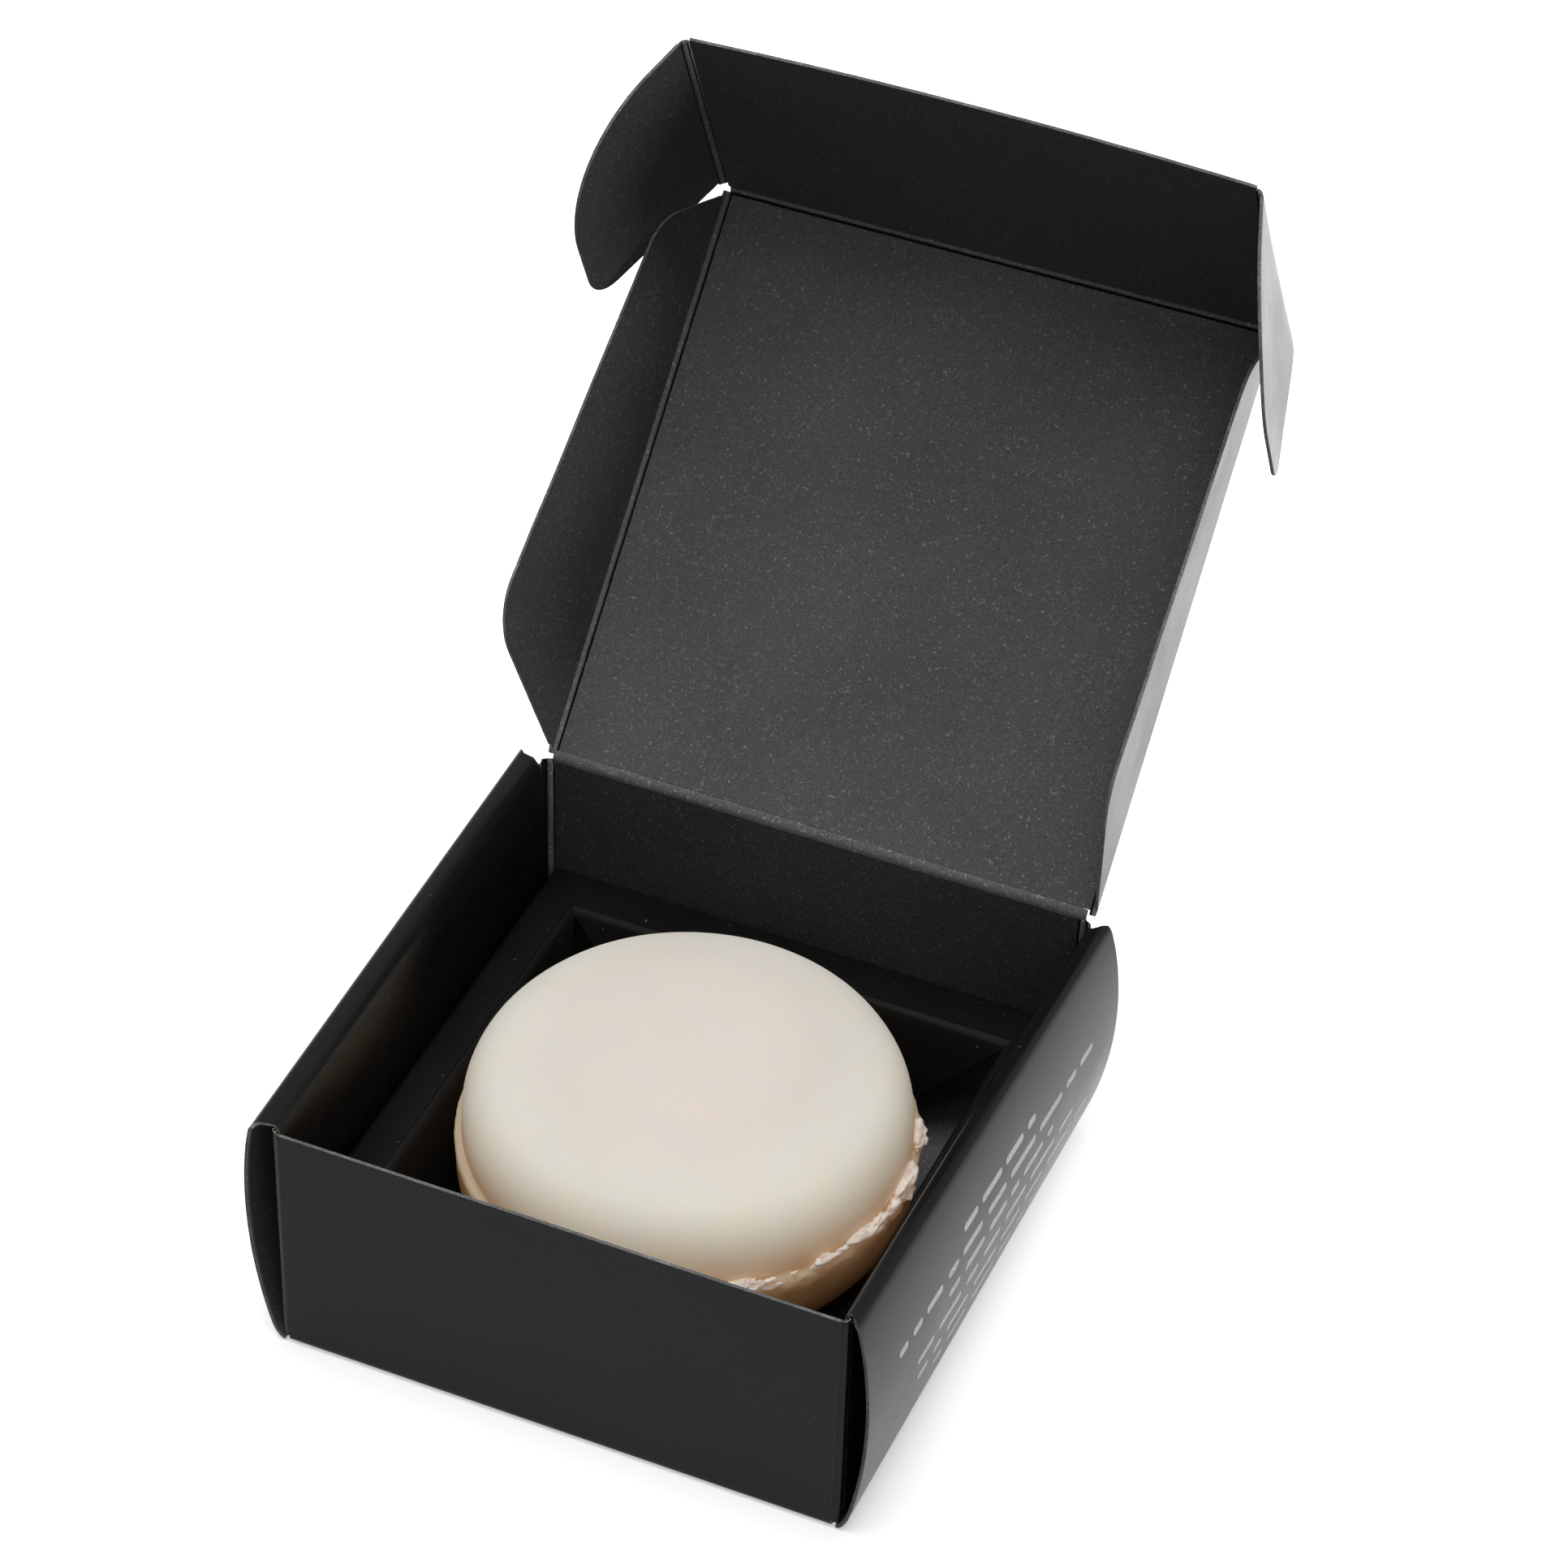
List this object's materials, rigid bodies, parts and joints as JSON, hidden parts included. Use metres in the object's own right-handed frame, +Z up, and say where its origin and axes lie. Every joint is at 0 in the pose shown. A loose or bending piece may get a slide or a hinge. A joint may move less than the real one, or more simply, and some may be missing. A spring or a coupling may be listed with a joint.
{
  "type": "boxed soap puck",
  "caption": "Round two-domed soap puck in a hinged folding carton with a tuck-in lid and a folded insert that holds the puck.",
  "frame": {"origin": "centre of the underside of the carton's base", "axes": "+X to the right seen from the front, +Y from the front wall towards the hinge, +Z up"},
  "size_m": [0.1069, 0.1498, 0.1382],
  "materials": {
    "carton_board": "matte",
    "lid_board": "matte",
    "insert_board": "matte",
    "soap": "satin"
  },
  "bodies": {
    "carton": {"base_panel": "carton_board", "front_wall": "carton_board", "back_wall": "carton_board", "left_outer_side_panel": "carton_board", "right_outer_side_panel": "carton_board", "left_top_fold": "carton_board", "right_top_fold": "carton_board", "left_inner_side_panel": "carton_board", "right_inner_side_panel": "carton_board", "front_left_corner_flap": "carton_board", "front_right_corner_flap": "carton_board", "back_left_corner_flap": "carton_board", "back_right_corner_flap": "carton_board"},
    "lid": {"lid_panel": "lid_board"},
    "left_side_flap": {"left_lid_flap": "lid_board"},
    "right_side_flap": {"right_lid_flap": "lid_board"},
    "tuck_flap": {"front_flap": "lid_board"},
    "left_ear": {"left_lock_ear": "lid_board"},
    "right_ear": {"right_lock_ear": "lid_board"},
    "insert": {"insert_platform": "insert_board", "left_well_flap": "insert_board", "right_well_flap": "insert_board", "front_well_flap": "insert_board", "back_well_flap": "insert_board", "left_insert_support": "insert_board", "right_insert_support": "insert_board", "front_insert_support": "insert_board", "back_insert_support": "insert_board"},
    "soap": {"soap_puck": "soap"}
  },
  "joints": [
    {"name": "lid_hinge", "type": "hinge", "parent": "carton", "child": "lid", "pos_m": [0, 0.04375, 0.04085], "axis": [-1, 0, 0], "range_deg": [-134.6, 45], "deforming": ["left_lock_ear", "right_lock_ear"]},
    {"name": "front_flap_fold", "type": "hinge", "parent": "lid", "child": "tuck_flap", "pos_m": [0, 0.10572, 0.10369], "axis": [-1, 0, 0], "range_deg": [-20.4, 69.6]},
    {"name": "left_flap_fold", "type": "hinge", "parent": "lid", "child": "left_side_flap", "pos_m": [-0.041, 0.04375, 0.04085], "axis": [0, 0.7022, 0.712], "range_deg": [-12, 32]},
    {"name": "right_flap_fold", "type": "hinge", "parent": "lid", "child": "right_side_flap", "pos_m": [0.041, 0.04375, 0.04085], "axis": [0, -0.7022, -0.712], "range_deg": [-3, 8]},
    {"name": "left_ear_fold", "type": "hinge", "parent": "tuck_flap", "child": "left_ear", "pos_m": [-0.043, 0.10572, 0.10369], "axis": [0, -0.4226, 0.9063], "range_deg": [-7, 20]},
    {"name": "right_ear_fold", "type": "hinge", "parent": "tuck_flap", "child": "right_ear", "pos_m": [0.043, 0.10572, 0.10369], "axis": [0, 0.4226, -0.9063], "range_deg": [-8, 23]},
    {"name": "insert_lift", "type": "slide", "parent": "carton", "child": "insert", "axis": [0, 0, 1], "range_m": [0, 0.06]},
    {"name": "soap_lift", "type": "slide", "parent": "insert", "child": "soap", "axis": [0, 0, 1], "range_m": [0, 0.06]}
  ],
  "couplings": [
    {"joint": "left_flap_fold", "follows": "lid_hinge", "ratio": -0.2364},
    {"joint": "right_flap_fold", "follows": "lid_hinge", "ratio": -0.0591},
    {"joint": "left_ear_fold", "follows": "lid_hinge", "ratio": -0.1485},
    {"joint": "right_ear_fold", "follows": "lid_hinge", "ratio": -0.1708}
  ]
}
